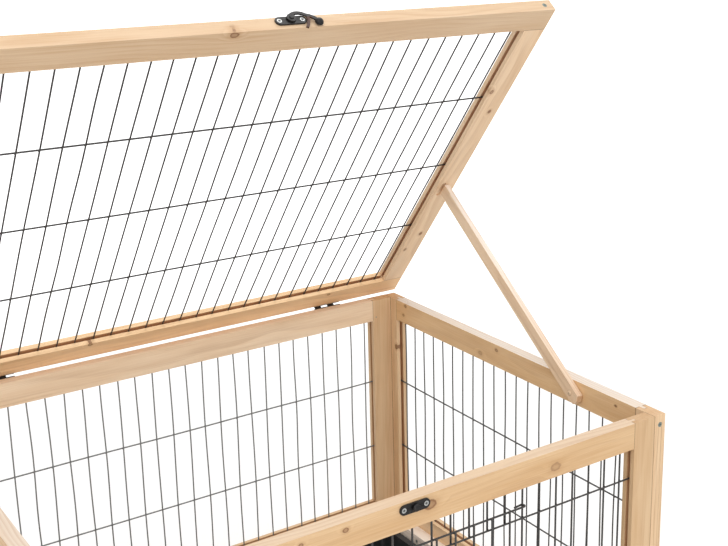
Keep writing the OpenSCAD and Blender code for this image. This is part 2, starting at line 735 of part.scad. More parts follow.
// An upright block with rounded corners, standing at z
module rounded_block(l, w, r, z, h) translate([0, 0, z]) linear_extrude(h) {
    square([l - 2 * r, w], center = true);
    square([l, w - 2 * r], center = true);
    for (sx = [-1, 1])
        for (sy = [-1, 1])
            translate([sx * (l / 2 - r), sy * (w / 2 - r)]) circle(r = r);
}
module tray() color([0.14, 0.14, 0.13]) {
    out_l = tray_l - 2 * tray_lip;
    out_w = tray_w - 2 * tray_lip;
    out_r = tray_r - tray_lip;
    difference() {
        union() {
            rounded_block(out_l, out_w, out_r, 0, tray_h);
            rounded_block(tray_l, tray_w, tray_r, tray_h - lip_drop, lip_drop);
        }
        difference() {
            rounded_block(tray_l - 2 * tray_wall, tray_w - 2 * tray_wall, tray_r - tray_wall,
                tray_h - lip_drop - THROUGH, lip_drop - tray_wall + THROUGH);
            rounded_block(out_l, out_w, out_r, 0, tray_h);
        }
        rounded_block(out_l - 2 * tray_wall, out_w - 2 * tray_wall, out_r - tray_wall,
            tray_wall, tray_h);
    }
}

// SCREW GROUPS

module front_frame_screws() color("silver")
    front_place() edge_screws(front_w, wall_screw_z) frame_screw();
module back_frame_screws() color("silver")
    back_place() edge_screws(front_w, wall_screw_z) frame_screw();
module left_frame_screws() color("silver")
    left_place() edge_screws(run_d, wall_screw_z) frame_screw();
module right_frame_screws() color("silver")
    right_place() edge_screws(run_d, wall_screw_z) frame_screw();
module lid_frame_screws() color("silver")
    lid_place() edge_screws(lid_d, lid_screw_z) frame_screw();
module corner_screws(side) color("silver") corner_places(side) corner_screw();
module hinge_rail_screws() color("silver") hinge_rail_places() small_screw();
module hinge_lid_screws() color("silver") hinge_lid_places() small_screw();
module latch_screws() color("silver") latch_places() small_screw();
module keeper_screws() color("silver") keeper_places() small_screw();
module batten_screws(side) color("silver") batten_places(side) batten_screw();
module back_nails() color("silver") back_nail_places() nail();

front_top_rail();
front_bottom_rail();
front_stile(-1);  // front_left_stile
front_stile(1);  // front_right_stile
front_mesh();
wire_door();
door_hinge_wire(door_z1 + door_over);  // door_top_wire
door_hinge_wire(door_z0 - door_over);  // door_bottom_wire
back_top_rail();
back_bottom_rail();
back_stile(-1);  // back_left_stile
back_stile(1);  // back_right_stile
back_mesh();
left_top_rail();
left_bottom_rail();
left_stile(-1);  // left_front_stile
left_stile(1);  // left_back_stile
left_mesh();
right_top_rail();
right_bottom_rail();
right_stile(-1);  // right_front_stile
right_stile(1);  // right_back_stile
right_mesh();
lid_front_rail();
lid_back_rail();
lid_left_stile();
lid_right_stile();
lid_mesh();
hinge_rail_leaf(-1);  // hinge_left_rail_leaf
hinge_lid_leaf(-1);  // hinge_left_lid_leaf
hinge_pin(-1);  // hinge_left_pin
hinge_rail_leaf(1);  // hinge_right_rail_leaf
hinge_lid_leaf(1);  // hinge_right_lid_leaf
hinge_pin(1);  // hinge_right_pin
prop_strut();
prop_screw();
latch_plate();
latch_rivet();
latch_hook();
keeper_plate();
keeper_stud();
batten(-1);  // left_batten
batten(1);  // right_batten
tray();
front_frame_screws();
back_frame_screws();
left_frame_screws();
right_frame_screws();
lid_frame_screws();
corner_screws(-1);  // left_corner_screws
corner_screws(1);  // right_corner_screws
hinge_rail_screws();
hinge_lid_screws();
latch_screws();
keeper_screws();
batten_screws(-1);  // left_batten_screws
batten_screws(1);  // right_batten_screws
back_nails();
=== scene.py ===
"""The looks of a guinea pig run: planed softwood frames, welded wire, black fittings and a tray.

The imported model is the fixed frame. Lengths in the dataclasses are millimetres, and they become
metres where a mesh or a shader is made.
"""

import json
import logging
import math
import random
from dataclasses import dataclass, field
from enum import Enum

import bmesh
import bpy
from mathutils import Matrix, Vector


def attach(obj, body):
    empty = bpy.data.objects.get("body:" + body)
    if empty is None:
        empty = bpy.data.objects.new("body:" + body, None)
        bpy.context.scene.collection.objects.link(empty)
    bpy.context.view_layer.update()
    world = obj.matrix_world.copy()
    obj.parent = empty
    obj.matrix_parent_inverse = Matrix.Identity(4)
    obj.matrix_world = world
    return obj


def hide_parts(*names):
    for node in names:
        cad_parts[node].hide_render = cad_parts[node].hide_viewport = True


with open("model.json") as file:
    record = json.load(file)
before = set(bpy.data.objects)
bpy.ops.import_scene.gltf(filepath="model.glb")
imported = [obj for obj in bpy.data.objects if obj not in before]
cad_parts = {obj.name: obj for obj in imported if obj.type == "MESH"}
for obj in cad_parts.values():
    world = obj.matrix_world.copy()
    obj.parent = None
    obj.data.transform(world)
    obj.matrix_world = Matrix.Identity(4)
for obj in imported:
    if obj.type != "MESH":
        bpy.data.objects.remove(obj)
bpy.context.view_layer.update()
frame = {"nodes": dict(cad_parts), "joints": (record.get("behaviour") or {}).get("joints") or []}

MM = 0.001
SAME_POINT = 1e-6
SHARP_EDGE = math.radians(40)
LOG = logging.getLogger("run")
Colour = tuple[float, float, float]
Triple = tuple[float, float, float]


class Body(Enum):
    """The bodies that the wire pieces ride on."""

    RUN = "run"
    LID = "lid"
    DOOR = "wire_door"


@dataclass(frozen=True)
class RunSizes:
    """The driving sizes of the run, as the model has them."""

    length: float = 738.0
    depth: float = 596.0
    height: float = 420.0
    timber_w: float = 33.0
    timber_t: float = 17.5
    base_h: float = 72.5
    groove_d: float = 8.0
    groove_w: float = 5.0
    pitch: float = 25.0
    row_gap: float = 111.4
    lid_over: float = 5.0
    lid_gap: float = 2.0
    lid_depth: float = 600.0
    lid_open: float = 50.6
    pin_off: float = 3.4
    pin_drop: float = 3.2

    @property
    def half_l(self) -> float:
        """Half the run's length."""
        return self.length / 2

    @property
    def half_d(self) -> float:
        """Half the run's depth."""
        return self.depth / 2

    @property
    def lid_matrix(self) -> Matrix:
        """The turn from the shut lid to the propped one, in metres."""
        pin = Vector((0.0, self.half_d + self.pin_off, self.height - self.pin_drop)) * MM
        turn = Matrix.Rotation(math.radians(-self.lid_open), 4, "X")
        return Matrix.Translation(pin) @ turn @ Matrix.Translation(-pin)


RUN = RunSizes()


class Value:
    """A shader socket that Python's operators turn into Math nodes."""

    def __init__(self, shader: "Shader", socket: bpy.types.NodeSocket) -> None:
        """Wraps an output socket of a shader's node."""
        self.shader = shader
        self.socket = socket

    def _math(self, operation: str, *others: "Value | float") -> "Value":
        """Adds a Math node of this value and others."""
        return self.shader.node("ShaderNodeMath", {"operation": operation}, self, *others)

    def __add__(self, other: "Value | float") -> "Value":
        """Adds."""
        return self._math("ADD", other)

    __radd__ = __add__

    def __sub__(self, other: "Value | float") -> "Value":
        """Subtracts."""
        return self._math("SUBTRACT", other)

    def __rsub__(self, other: float) -> "Value":
        """Subtracts this value from a number."""
        return self.shader.node("ShaderNodeMath", {"operation": "SUBTRACT"}, other, self)

    def __mul__(self, other: "Value | float") -> "Value":
        """Multiplies."""
        return self._math("MULTIPLY", other)

    __rmul__ = __mul__

    def __truediv__(self, other: "Value | float") -> "Value":
        """Divides."""
        return self._math("DIVIDE", other)

    def __pow__(self, other: "Value | float") -> "Value":
        """Raises to a power."""
        return self._math("POWER", other)

    def __abs__(self) -> "Value":
        """The size without the sign."""
        return self._math("ABSOLUTE")

    def fract(self) -> "Value":
        """The part after the decimal point."""
        return self._math("FRACT")

    def least(self, other: "Value | float") -> "Value":
        """The smaller of two values."""
        return self._math("MINIMUM", other)

    def most(self, other: "Value | float") -> "Value":
        """The larger of two values."""
        return self._math("MAXIMUM", other)

    def step(self, low: float, high: float) -> "Value":
        """A smooth step.

        Args:
            low: Where the step starts, with value 0.
            high: Where it ends, with value 1. It may lie below low for a falling step.

        Returns:
            A value from 0 to 1.
        """
        settings = {"interpolation_type": "SMOOTHSTEP"}
        ends = (low, high, 0.0, 1.0) if low < high else (high, low, 1.0, 0.0)
        return self.shader.node("ShaderNodeMapRange", settings, self, *ends)


class Shader:
    """A material's node tree, written from Python."""

    def __init__(self, name: str) -> None:
        """Starts a material with a Principled shader.

        Args:
            name: The material's name.
        """
        self.material = bpy.data.materials.new(name)
        self.material.use_nodes = True
        self.tree = self.material.node_tree
        self.tree.nodes.clear()
        self.output = self.tree.nodes.new("ShaderNodeOutputMaterial")
        self.principled = self.tree.nodes.new("ShaderNodeBsdfPrincipled")
        self.tree.links.new(self.principled.outputs[0], self.output.inputs[0])

    def _feed(self, socket: bpy.types.NodeSocket, value: object) -> None:
        """Links an input to a Value, or sets it to a constant.

        Args:
            socket: The input.
            value: The Value, number, colour or vector.
        """
        if isinstance(value, Value):
            self.tree.links.new(value.socket, socket)
        elif isinstance(value, tuple) and len(value) == 3 and socket.type == "RGBA":
            socket.default_value = (*value, 1.0)
        else:
            socket.default_value = value

    def node(self, kind: str, settings: dict[str, object], *values: object,
             out: int | str = 0, **named: object) -> Value:
        """Adds any node.

        Args:
            kind: The node's type.
            settings: Its settings, set before its inputs.
            values: Its first inputs in order; None leaves one as it is.
            out: The output that is returned.
            named: Inputs by name, with _ for a space.

        Returns:
            The chosen output.
        """
        made = self.tree.nodes.new(kind)
        for key, value in settings.items():
            setattr(made, key, value)
        for socket, value in zip(made.inputs, values):
            if value is not None:
                self._feed(socket, value)
        for key, value in named.items():
            self._feed(made.inputs[key.replace("_", " ")], value)
        return Value(self, made.outputs[out])

    def place(self) -> Value:
        """The point on the piece at rest, in metres."""
        return self.node("ShaderNodeTexCoord", {}, out="Object")

    def facing(self) -> Value:
        """The surface's direction on the piece at rest."""
        return self.node("ShaderNodeTexCoord", {}, out="Normal")

    def along(self, point: Value, axis: Vector) -> Value:
        """How far a point or a direction goes along an axis, scaled by the axis's length."""
        settings = {"operation": "DOT_PRODUCT"}
        return self.node("ShaderNodeVectorMath", settings, point, tuple(axis), out="Value")

    def joined(self, x: Value | float, y: Value | float, z: Value | float) -> Value:
        """A vector of three values."""
        return self.node("ShaderNodeCombineXYZ", {}, x, y, z)

    def noise(self, where: Value, scale: float, detail: float = 2.0) -> Value:
        """Noise round zero, from about -0.5 to 0.5, read at a point."""
        made = self.node("ShaderNodeTexNoise", {}, Vector=where, Scale=scale, Detail=detail)
        return made - 0.5

    def mix(self, share: Value, first: Value | Colour, second: Value | Colour) -> Value:
        """Mixes two colours.

        Args:
            share: The share of the second colour.
            first: The first colour.
            second: The second colour.

        Returns:
            The mixed colour.
        """
        made = self.tree.nodes.new("ShaderNodeMix")
        made.data_type = "RGBA"
        self._feed(made.inputs[0], share)
        self._feed(made.inputs[6], first)
        self._feed(made.inputs[7], second)
        return Value(self, made.outputs[2])

    def bump(self, height: Value, strength: float, distance: float) -> None:
        """Bumps the surface.

        Args:
            height: The height, in units of distance.
            strength: The share of the effect.
            distance: What a height of 1 stands for, in metres.
        """
        normal = self.node("ShaderNodeBump", {}, Strength=strength, Distance=distance,
                           Height=height, out="Normal")
        self._feed(self.principled.inputs["Normal"], normal)

    def surface(self, **named: object) -> bpy.types.Material:
        """Sets the Principled shader's inputs.

        Args:
            named: Inputs by name, with _ for a space.

        Returns:
            The finished material.
        """
        for key, value in named.items():
            self._feed(self.principled.inputs[key.replace("_", " ")], value)
        return self.material


@dataclass(frozen=True)
class Knot:
    """A knot on a timber's face: depth is its strength, and solid fills its ring."""

    at: Triple
    radius: float
    depth: float = 1.0
    solid: float = 0.0


@dataclass(frozen=True)
class Softwood:
    """Planed, unpainted softwood. The second axis points to the timber's grooved edge."""

    node: str
    along: Vector
    across: Vector
    seed: int
    warmth: float = 0.6
    # light scales the colour: partly the wood's own tone, partly painted light for how brightly
    # this timber is lit.
    light: float = 1.0
    grooved: bool = True
    shoulder: float = 0.0
    butt: bool = False
    knots: tuple[Knot, ...] = ()
    cool: tuple[Colour, Colour] = ((0.90, 0.70, 0.51), (0.80, 0.57, 0.37))
    warm: tuple[Colour, Colour] = ((0.83, 0.56, 0.30), (0.70, 0.42, 0.19))
    late: Colour = (0.50, 0.27, 0.12)
    heart: Colour = (0.21, 0.085, 0.03)
    # Painted light: shares of a pale highlight colour over the whole piece and over its narrow
    # sides, where light falls on them.
    painted_light: float = 0.0
    painted_side_light: float = 0.0
    # Painted shadow at the foot: the side highlight falls to this share at the start of the
    # piece's length, and the colour goes tan there by the next share.
    light_at_foot: float = 1.0
    foot_shadow: float = 0.3
    # Painted light on faces that look up: the share of a pale top highlight.
    painted_top_light: float = 0.0
    # The colour of the painted highlight on those pieces and sides.
    painted_highlight: Colour = (0.98, 0.86, 0.75)
    # The colour of the painted top highlight.
    top_highlight: Colour = (0.85, 0.77, 0.69)
    gap: Colour = (0.13, 0.05, 0.02)
    gap_share: float = 0.85
    # Painted shade inside the groove that holds the mesh: a brown mixed over its walls by the
    # share below.
    groove_shade: Colour = (0.42, 0.17, 0.07)
    groove_shade_share: float = 0.55
    halo_share: float = 0.38
    heart_share: float = 0.88
    end_share: float = 0.30
    ring_gap: tuple[float, float] = (4.6, 6.4)
    ring_drift: float = 30.0
    ring_bulge: float = 7.0
    facing_step: tuple[float, float] = (0.6, 0.9)
    upward_step: tuple[float, float] = (0.6, 0.95)

    def extent(self, axis: Vector) -> tuple[float, float]:
        """How far the timber reaches along an axis, in millimetres."""
        reach = [vert.co.dot(axis) / MM for vert in frame["nodes"][self.node].data.vertices]
        return min(reach), max(reach)

    def tint(self, which: int) -> Colour:
        """The pale colour (0) or the tan one (1) at this timber's warmth."""
        pairs = zip(self.cool[which], self.warm[which])
        return tuple(self.light * (c + (w - c) * self.warmth) for c, w in pairs)

    def knotted(self, shader: Shader, spot: tuple[Value, Value, Value],
                middle: Triple) -> tuple[Value | float, Value | float, Value | float]:
        """Draws the knots.

        Args:
            shader: The material.
            spot: The place along, across and through the timber, from its middle.
            middle: The timber's middle on the three axes.

        Returns:
            How far the rings bulge, the knots' hearts and their halos.
        """
        u, v, w = spot
        thick = self.along.cross(self.across)
        swell: Value | float = 0.0
        heart: Value | float = 0.0
        halo: Value | float = 0.0
        for knot in self.knots:
            at = Vector(knot.at)
            du = (u - (at.dot(self.along) - middle[0])) / knot.radius
            dv = (v - (at.dot(self.across) - middle[1])) / knot.radius
            wobble = shader.noise(shader.place(), 260.0, 1.0) * 0.5
            near = (du * du * 0.55 + dv * dv) ** 0.5 + wobble
            dw = abs(w - (at.dot(thick) - middle[2])).step(RUN.timber_t * 0.8, RUN.timber_t * 0.4)
            bulge = (du * du * 0.05 + dv * dv * 0.16).step(1.0, 0.0) * dw
            swell = bulge * self.ring_bulge * knot.depth + swell
            hollow = 0.5 * (1 - knot.solid)
            ring = near.step(1.0, 0.72) * (near.step(0.35, 0.75) * hollow + (1 - hollow))
            heart = (ring * dw * knot.depth).most(heart)
            halo = (near.step(2.0, 0.9) * dw * knot.depth).most(halo)
        return swell, heart, halo

    def joints(self, spot: tuple[Value, Value, Value],
               half: Triple) -> tuple[Value | float, Value | float]:
        """Painted shade inside the grooves, and the thin dark lines where timbers meet.

        Args:
            spot: The place along, across and through the timber, from its middle.
            half: Half the timber's size on the three axes.

        Returns:
            The grooves' painted shade and the lines, each a value from 0 to 1.
        """
        u, v, w = spot
        groove_shade: Value | float = 0.0
        dark: Value | float = 0.0
        if self.grooved:
            inside = (v - (half[1] - RUN.groove_d)).step(-0.6, 0.1) * (v - half[1]).step(0.1, -0.9)
            groove_shade = inside * abs(w).step(RUN.groove_w / 2 + 0.2, RUN.groove_w / 2 + 0.1)
        if self.shoulder > 0:
            line = abs(abs(u) - (half[0] - self.shoulder))
            dark = (line.step(0.75, 0.35) * abs(w).step(2.3, 2.7)).most(dark)
        if self.butt:
            dark = ((v + half[1]).step(0.9, 0.4)).most(dark)
        return groove_shade, dark

    def material(self) -> bpy.types.Material:
        """Makes the timber's material."""
        rng = random.Random(self.seed)
        shader = Shader(f"softwood_{self.node}")
        point = shader.place()
        thick = self.along.cross(self.across)
        spans = [self.extent(axis) for axis in (self.along, self.across, thick)]
        middle = tuple((low + high) / 2 for low, high in spans)
        half = tuple((high - low) / 2 for low, high in spans)
        u = shader.along(point, self.along / MM) - middle[0]
        v = shader.along(point, self.across / MM) - middle[1]
        w = shader.along(point, thick / MM) - middle[2]
        far = u + rng.uniform(100, 900)
        swell, heart, halo = self.knotted(shader, (u, v, w), middle)
        drift = shader.noise(shader.joined(far * 0.0032, v * 0.010, w * 0.010), 1.0, 2.0)
        pith_v = rng.choice((-1, 1)) * rng.uniform(4, 34)
        pith_w = rng.choice((-1, 1)) * rng.uniform(26, 60)
        ring_v, ring_w = v - pith_v, w - pith_w
        radius = (ring_v * ring_v + ring_w * ring_w) ** 0.5 + drift * self.ring_drift + swell
        uneven = shader.noise(shader.joined(radius * 0.06, rng.uniform(0, 90), 0.0), 1.0, 1.0)
        turn = (radius / rng.uniform(*self.ring_gap) + uneven * 2.6).fract()
        late = turn.step(0.15, 0.88) * turn.step(1.0, 0.9)
        fibre = shader.noise(shader.joined(far * 0.014, v * 0.8, w * 0.8), 1.0, 3.0)
        fine = shader.noise(shader.joined(far * 0.08, v * 4.2, w * 4.2), 1.0, 2.0)
        broad = shader.noise(shader.joined(far * 0.006, v * 0.05, w * 0.05 + rng.uniform(0, 40)),
                             1.0, 2.0)
        fade = shader.noise(shader.joined(far * 0.005, v * 0.06 + rng.uniform(0, 40), w * 0.06),
                            1.0, 1.0).step(-0.22, 0.25)
        end = abs(shader.along(shader.facing(), self.along)).step(*self.facing_step)
        worn = shader.noise(point, 75.0, 3.0).step(0.24, 0.34)
        share = (broad * 2.0 + fibre * 1.3 + 0.40).most(0.0).least(1.0)
        tone = shader.mix(share, self.tint(0), self.tint(1))
        # Painted highlight: the narrow sides, and on the battens the whole piece, turn pale where
        # light falls on them.
        if self.painted_light > 0 or self.painted_side_light > 0:
            side = abs(shader.along(shader.facing(), self.across)).step(*self.facing_step)
            # Painted shadow: towards the start of the piece's length, which on the strut is its
            # foot beside the rail, the highlight fades and the colour turns tan for the rail's
            # shadow.
            foot = u.step(-half[0], half[0] * 0.4) * (1 - self.light_at_foot) + self.light_at_foot
            tone = shader.mix(side * self.painted_side_light * foot + self.painted_light, tone, self.painted_highlight)
            tone = shader.mix((1 - foot) * self.foot_shadow, tone, self.late)
        # Painted highlight on the faces that look up, for the light from above.
        if self.painted_top_light > 0:
            up = shader.along(shader.facing(), Vector((0, 0, 1))).step(*self.upward_step)
            tone = shader.mix(up * (fade * 0.3 + 0.7) * self.painted_top_light, tone, self.top_highlight)
        grain = (late * (fade * 0.26 + 0.05 + fibre * 0.3) + fine * 0.14 + worn * 0.10).most(0.0)
        colour = shader.mix(grain, tone, self.late)
        if self.knots:
            colour = shader.mix(halo * self.halo_share, colour, self.late)
            colour = shader.mix(heart * self.heart_share, colour, self.heart)
        colour = shader.mix(end * self.end_share, colour, self.late)
        groove_shade, dark = self.joints((u, v, w), half)
        # Painted shade inside the grooves.
        if isinstance(groove_shade, Value):
            colour = shader.mix(groove_shade * self.groove_shade_share, colour, self.groove_shade)
        if isinstance(dark, Value):
            colour = shader.mix(dark * self.gap_share, colour, self.gap)
        shader.bump(late * 0.4 + fibre * 0.8 + fine * 0.6 - worn * 0.3, 0.3, 0.0004)
        return shader.surface(Base_Color=colour, Roughness=(fibre * 0.25 + 0.62 - late * 0.06))


@dataclass(frozen=True)
class CoatedWire:
    """Dark coated wire, satin, with worn spots."""

    colour: Colour = (0.040, 0.037, 0.036)
    worn: Colour = (0.15, 0.135, 0.125)

    def material(self, name: str) -> bpy.types.Material:
        """Makes the wire's material.

        Args:
            name: The material's name.

        Returns:
            The material.
        """
        shader = Shader(name)
        point = shader.place()
        patch = shader.noise(point, 60.0, 3.0).step(0.05, 0.3)
        grit = shader.noise(point, 900.0, 2.0)
        colour = shader.mix(patch * 0.5, self.colour, self.worn)
        shader.bump(grit, 0.25, 0.0002)
        return shader.surface(Base_Color=colour, Roughness=grit * 0.3 + 0.42, Metallic=patch * 0.5)


@dataclass(frozen=True)
class BlackSteel:
    """Black coated pressed steel, with lighter patches at random: partly wear on the coat, partly
    painted highlights.
    """

    colour: Colour = (0.011, 0.010, 0.010)
    wear_and_sheen: Colour = (0.13, 0.12, 0.11)
    gloss: float = 0.3
    roughness: float = 0.38

    def stain(self, shader: Shader, grit: Value, black: Value) -> Value:
        """Paints what lies over the black coat; here nothing does."""
        return black

    def material(self, name: str) -> bpy.types.Material:
        """Makes the fittings' material.

        Args:
            name: The material's name.

        Returns:
            The material.
        """
        shader = Shader(name)
        point = shader.place()
        patch = shader.noise(point, 240.0, 4.0).step(0.02, 0.28)
        grit = shader.noise(point, 1500.0, 2.0)
        # Lighter patches: partly wear on the black coat, partly painted highlights.
        black = shader.mix(patch * 0.45, self.colour, self.wear_and_sheen)
        colour = self.stain(shader, grit, black)
        shader.bump(grit + patch * 0.5, 0.3, 0.0002)
        return shader.surface(Base_Color=colour, Roughness=self.roughness + grit * 0.25,
                              Metallic=patch * 0.6, Specular_IOR_Level=self.gloss)


@dataclass(frozen=True)
class RustedHook(BlackSteel):
    """The hook's steel, its claw rusted brown between two distances from the pivot."""

    roughness: float = 0.36
    claw: Colour = (0.055, 0.014, 0.003)
    claw_from: float = 9.0
    claw_to: float = 24.0
    claw_top: float = -1.5
    fade: float = 2.0

    def stain(self, shader: Shader, grit: Value, black: Value) -> Value:
        """Paints the claw.

        Args:
            shader: The material.
            grit: The fine noise of the surface.
            black: The coat's colour.

        Returns:
            The colour, brown on the claw.
        """
        point = shader.place()
        pivot = Vector(joint_of("hook_pivot")["pos_m"])
        x_axis = Vector((1, 0, 0))
        up_axis = RUN.lid_matrix.to_3x3() @ Vector((0, 0, 1))
        right = shader.along(point, x_axis / MM) - pivot.x / MM
        up = shader.along(point, up_axis / MM) - pivot.dot(up_axis) / MM
        start = right.step(self.claw_from - self.fade, self.claw_from)
        under = up.step(self.claw_top + self.fade, self.claw_top)
        stop = right.step(self.claw_to + self.fade / 2, self.claw_to)
        share = (start * under + grit * 0.3) * stop
        return shader.mix(share.most(0.0).least(1.0), black, self.claw)


def heads(node: str) -> list[Vector]:
    """The middles of the screw heads of a node.

    Args:
        node: The node of the screws.

    Returns:
        The middle of each head's face, in metres.
    """
    mesh = bmesh.new()
    mesh.from_mesh(frame["nodes"][node].data)
    bmesh.ops.remove_doubles(mesh, verts=mesh.verts, dist=SAME_POINT)
    left = set(mesh.verts)
    middles = []
    while left:
        group = [left.pop()]
        for vert in group:
            for edge in vert.link_edges:
                other = edge.other_vert(vert)
                if other in left:
                    left.remove(other)
                    group.append(other)
        centre = sum((vert.co for vert in group), Vector()) / len(group)
        reach = max((vert.co - centre).length for vert in group)
        tip = [vert.co for vert in group if (vert.co - centre).length > reach * 0.98]
        axis = (sum(tip, Vector()) / len(tip) - centre).normalized()
        middles.append(centre + axis * min((vert.co - centre).dot(axis) for vert in group))
    mesh.free()
    return middles


@dataclass(frozen=True)
class ZincPlate:
    """Zinc plated screws, fine turning marks and dulled spots."""

    colour: Colour = (0.52, 0.53, 0.52)
    dull: Colour = (0.33, 0.33, 0.32)
    # Painted shade colour of the cross cut in each head.
    recess_shade: Colour = (0.035, 0.035, 0.035)
    metal: float = 0.75

    def material(self, node: str) -> bpy.types.Material:
        """Makes the screws' material, with painted shade in the cross cut of each head.

        Args:
            node: The node of the screws.

        Returns:
            The material.
        """
        shader = Shader(f"zinc_{node}")
        point = shader.place()
        patch = shader.noise(point, 700.0, 3.0).step(-0.05, 0.25)
        grit = shader.noise(point, 3000.0, 2.0)
        colour = shader.mix(patch * 0.7, self.colour, self.dull)
        dark: Value | float = 0.0
        for head in heads(node):
            settings = {"operation": "DISTANCE"}
            away = shader.node("ShaderNodeVectorMath", settings, point, tuple(head), out="Value")
            dark = (away / MM).step(2.2, 0.7).most(dark)
        # Painted shade in the cross cut in each screw head.
        colour = shader.mix(dark * 0.8, colour, self.recess_shade)
        shader.bump(grit, 0.2, 0.0001)
        return shader.surface(Base_Color=colour, Roughness=grit * 0.3 + 0.4, Metallic=self.metal)


@dataclass(frozen=True)
class MouldedPlastic:
    """Matt black moulded plastic with a fine grain and scuffs."""

    colour: Colour = (0.020, 0.020, 0.021)
    scuffed: Colour = (0.065, 0.064, 0.062)

    def material(self, name: str) -> bpy.types.Material:
        """Makes the tray's material.

        Args:
            name: The material's name.

        Returns:
            The material.
        """
        shader = Shader(name)
        point = shader.place()
        grain = shader.noise(point, 1400.0, 2.0)
        scuff = shader.noise(point, 35.0, 5.0).step(0.08, 0.3)
        colour = shader.mix(scuff * 0.5, self.colour, self.scuffed)
        shader.bump(grain, 0.35, 0.0003)
        return shader.surface(Base_Color=colour, Roughness=0.55 + scuff * 0.15)


def joint_of(name: str) -> dict[str, object]:
    """The frame's row for the joint of that name."""
    return next(joint for joint in frame["joints"] if joint["name"] == name)


def linked(name: str, data: bpy.types.ID) -> bpy.types.Object:
    """Links a new object to the scene.

    Args:
        name: The object's name.
        data: Its mesh, lamp or camera data.

    Returns:
        The object.
    """
    made = bpy.data.objects.new(name, data)
    bpy.context.scene.collection.objects.link(made)
    return made


def dress(node: str, material: bpy.types.Material, arris: float = 0.0) -> None:
    """Gives a CAD node its material and takes off its sharp edges.

    Args:
        node: The node's name.
        material: Its material.
        arris: The width of the rounded edge in millimetres, or 0 for none.
    """
    piece = frame["nodes"][node]
    piece.data.materials.clear()
    piece.data.materials.append(material)
    if arris > 0:
        weld = piece.modifiers.new("joined", "WELD")
        weld.merge_threshold = SAME_POINT
        bevel = piece.modifiers.new("arris", "BEVEL")
        bevel.width = arris * MM
        bevel.segments = 2
        bevel.limit_method = "ANGLE"
        bevel.angle_limit = SHARP_EDGE
        bevel.harden_normals = True


class Wires:
    """A mesh of bent wires and weld beads."""

    RING_SIDES = 10

    def __init__(self) -> None:
        """Starts an empty mesh."""
        self.mesh = bmesh.new()

    def tube(self, points: list[Vector], radius: float) -> None:
        """Adds a wire along points, its ends closed.

        Args:
            points: The points of its middle line, in metres.
            radius: Its radius in metres.
        """
        rings = []
        normal: Vector | None = None
        for i, point in enumerate(points):
            ahead = points[min(i + 1, len(points) - 1)] - points[max(i - 1, 0)]
            ahead.normalize()
            if normal is None:
                normal = ahead.orthogonal().normalized()
            normal = (normal - ahead * normal.dot(ahead)).normalized()
            side = ahead.cross(normal)
            ring = []
            for k in range(self.RING_SIDES):
                angle = 2 * math.pi * k / self.RING_SIDES
                out = normal * math.cos(angle) + side * math.sin(angle)
                ring.append(self.mesh.verts.new(point + out * radius))
            rings.append(ring)
        for near, far in zip(rings, rings[1:]):
            for k in range(self.RING_SIDES):
                j = (k + 1) % self.RING_SIDES
                face = self.mesh.faces.new((near[k], near[j], far[j], far[k]))
                face.smooth = True
        self.mesh.faces.new(rings[0][::-1])
        self.mesh.faces.new(rings[-1])

    def bead(self, centre: Vector, radius: float, squash: Vector) -> None:
        """Adds a weld bead.

        Args:
            centre: Its middle, in metres.
            radius: Its radius in metres.
            squash: Its scale along X, Y and Z.
        """
        place = Matrix.Translation(centre) @ Matrix.Diagonal((*squash, 1.0))
        made = bmesh.ops.create_uvsphere(self.mesh, u_segments=8, v_segments=6, radius=radius,
                                         matrix=place)
        for vert in made["verts"]:
            for face in vert.link_faces:
                face.smooth = True

    def piece(self, name: str, material: bpy.types.Material, body: Body,
              *nodes: str) -> bpy.types.Object:
        """Finishes the mesh as a piece.

        Args:
            name: The piece's name.
            material: Its material.
            body: The body that it rides on.
            nodes: The CAD nodes that it stands for.

        Returns:
            The piece.
        """
        bmesh.ops.recalc_face_normals(self.mesh, faces=self.mesh.faces)
        data = bpy.data.meshes.new(name)
        self.mesh.to_mesh(data)
        self.mesh.free()
        made = linked(name, data)
        data.materials.append(material)
        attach(made, body.value)
        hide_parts(*nodes)
        return made


@dataclass
class Run:
    """One straight stretch of wire, in a panel's own plane."""

    at: float
    start: float
    end: float
    upright: bool


